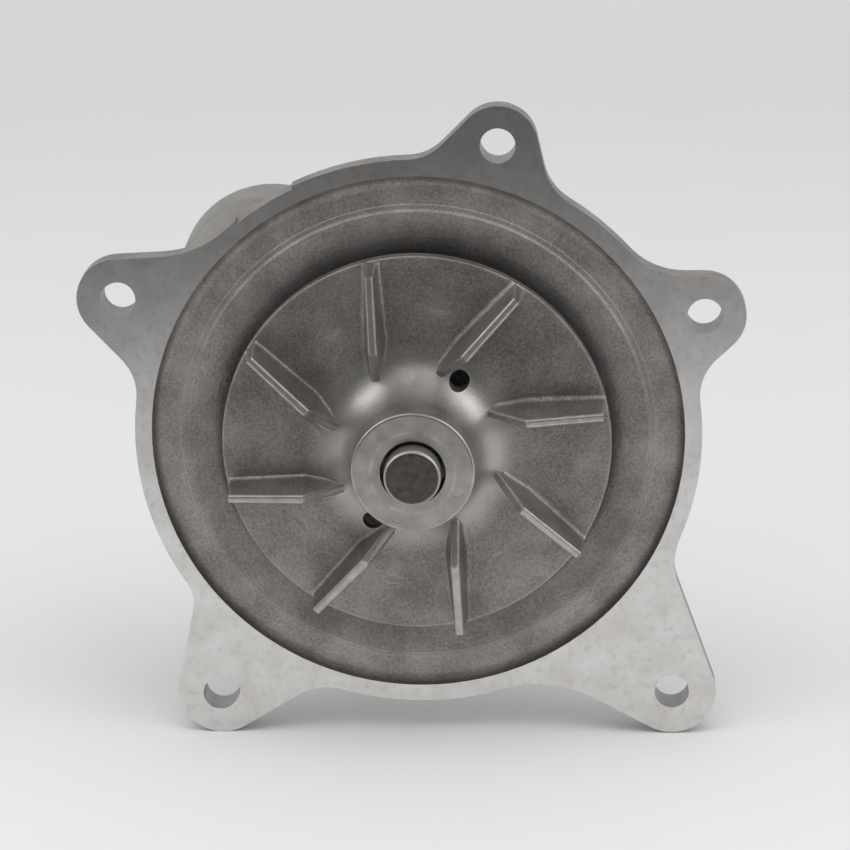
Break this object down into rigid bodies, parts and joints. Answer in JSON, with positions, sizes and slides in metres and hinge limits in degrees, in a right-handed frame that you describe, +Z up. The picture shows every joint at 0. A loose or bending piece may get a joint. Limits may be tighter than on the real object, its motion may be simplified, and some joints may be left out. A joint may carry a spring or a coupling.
{
  "type": "water pump",
  "caption": "Engine coolant pump: round five-lug mounting flange with an open straight-vane impeller on a sealed bearing shaft, hose neck and pulley hub behind.",
  "frame": {"origin": "where the shaft axis crosses the machined mounting face", "axes": "+Y along the shaft towards the belt pulley, -Y into the engine, +Z up as pictured"},
  "size_m": [0.1897, 0.1452, 0.1876],
  "materials": {
    "cast_aluminium": "shot-blasted casting with a machined mounting face",
    "impeller_casting": "matt as-cast, hub face machined",
    "ground_steel": "ground",
    "pulley_hub_steel": "turned",
    "bearing_steel": "ground",
    "cage_nylon": "moulded nylon",
    "seal_rubber": "moulded rubber",
    "spring_steel": "drawn wire",
    "seal_brass": "drawn sheet",
    "stainless_sheet": "drawn sheet",
    "seal_carbon": "lapped carbon graphite",
    "seat_ceramic": "lapped ceramic"
  },
  "bodies": {
    "housing": {"pump_housing": "cast_aluminium", "bearing_outer_ring": "bearing_steel", "front_bearing_seal": "seal_rubber", "rear_bearing_seal": "seal_rubber", "bearing_snap_ring": "spring_steel", "seal_case": "seal_brass", "seal_bellows": "seal_rubber", "seal_spring": "spring_steel", "seal_ferrule": "stainless_sheet", "carbon_ring": "seal_carbon"},
    "rotor": {"shaft": "ground_steel", "impeller": "impeller_casting", "pulley_hub": "pulley_hub_steel", "water_slinger": "seal_rubber", "seal_sleeve": "stainless_sheet", "seat_rubber": "seal_rubber", "seat_ring": "seat_ceramic"},
    "ball_set": {"bearing_balls": "bearing_steel", "ball_cage": "cage_nylon"},
    "roller_set": {"bearing_rollers": "bearing_steel", "roller_cage": "cage_nylon"}
  },
  "joints": [
    {"name": "rotor_spin", "type": "hinge", "parent": "housing", "child": "rotor", "pos_m": [0, 0, 0], "axis": [0, 1, 0], "continuous": true},
    {"name": "ball_set_spin", "type": "hinge", "parent": "housing", "child": "ball_set", "pos_m": [0, 0.04, 0], "axis": [0, 1, 0], "continuous": true},
    {"name": "roller_set_spin", "type": "hinge", "parent": "housing", "child": "roller_set", "pos_m": [0, 0.066, 0], "axis": [0, 1, 0], "continuous": true}
  ],
  "couplings": [
    {"joint": "ball_set_spin", "follows": "rotor_spin", "ratio": 0.3619},
    {"joint": "roller_set_spin", "follows": "rotor_spin", "ratio": 0.3766}
  ]
}
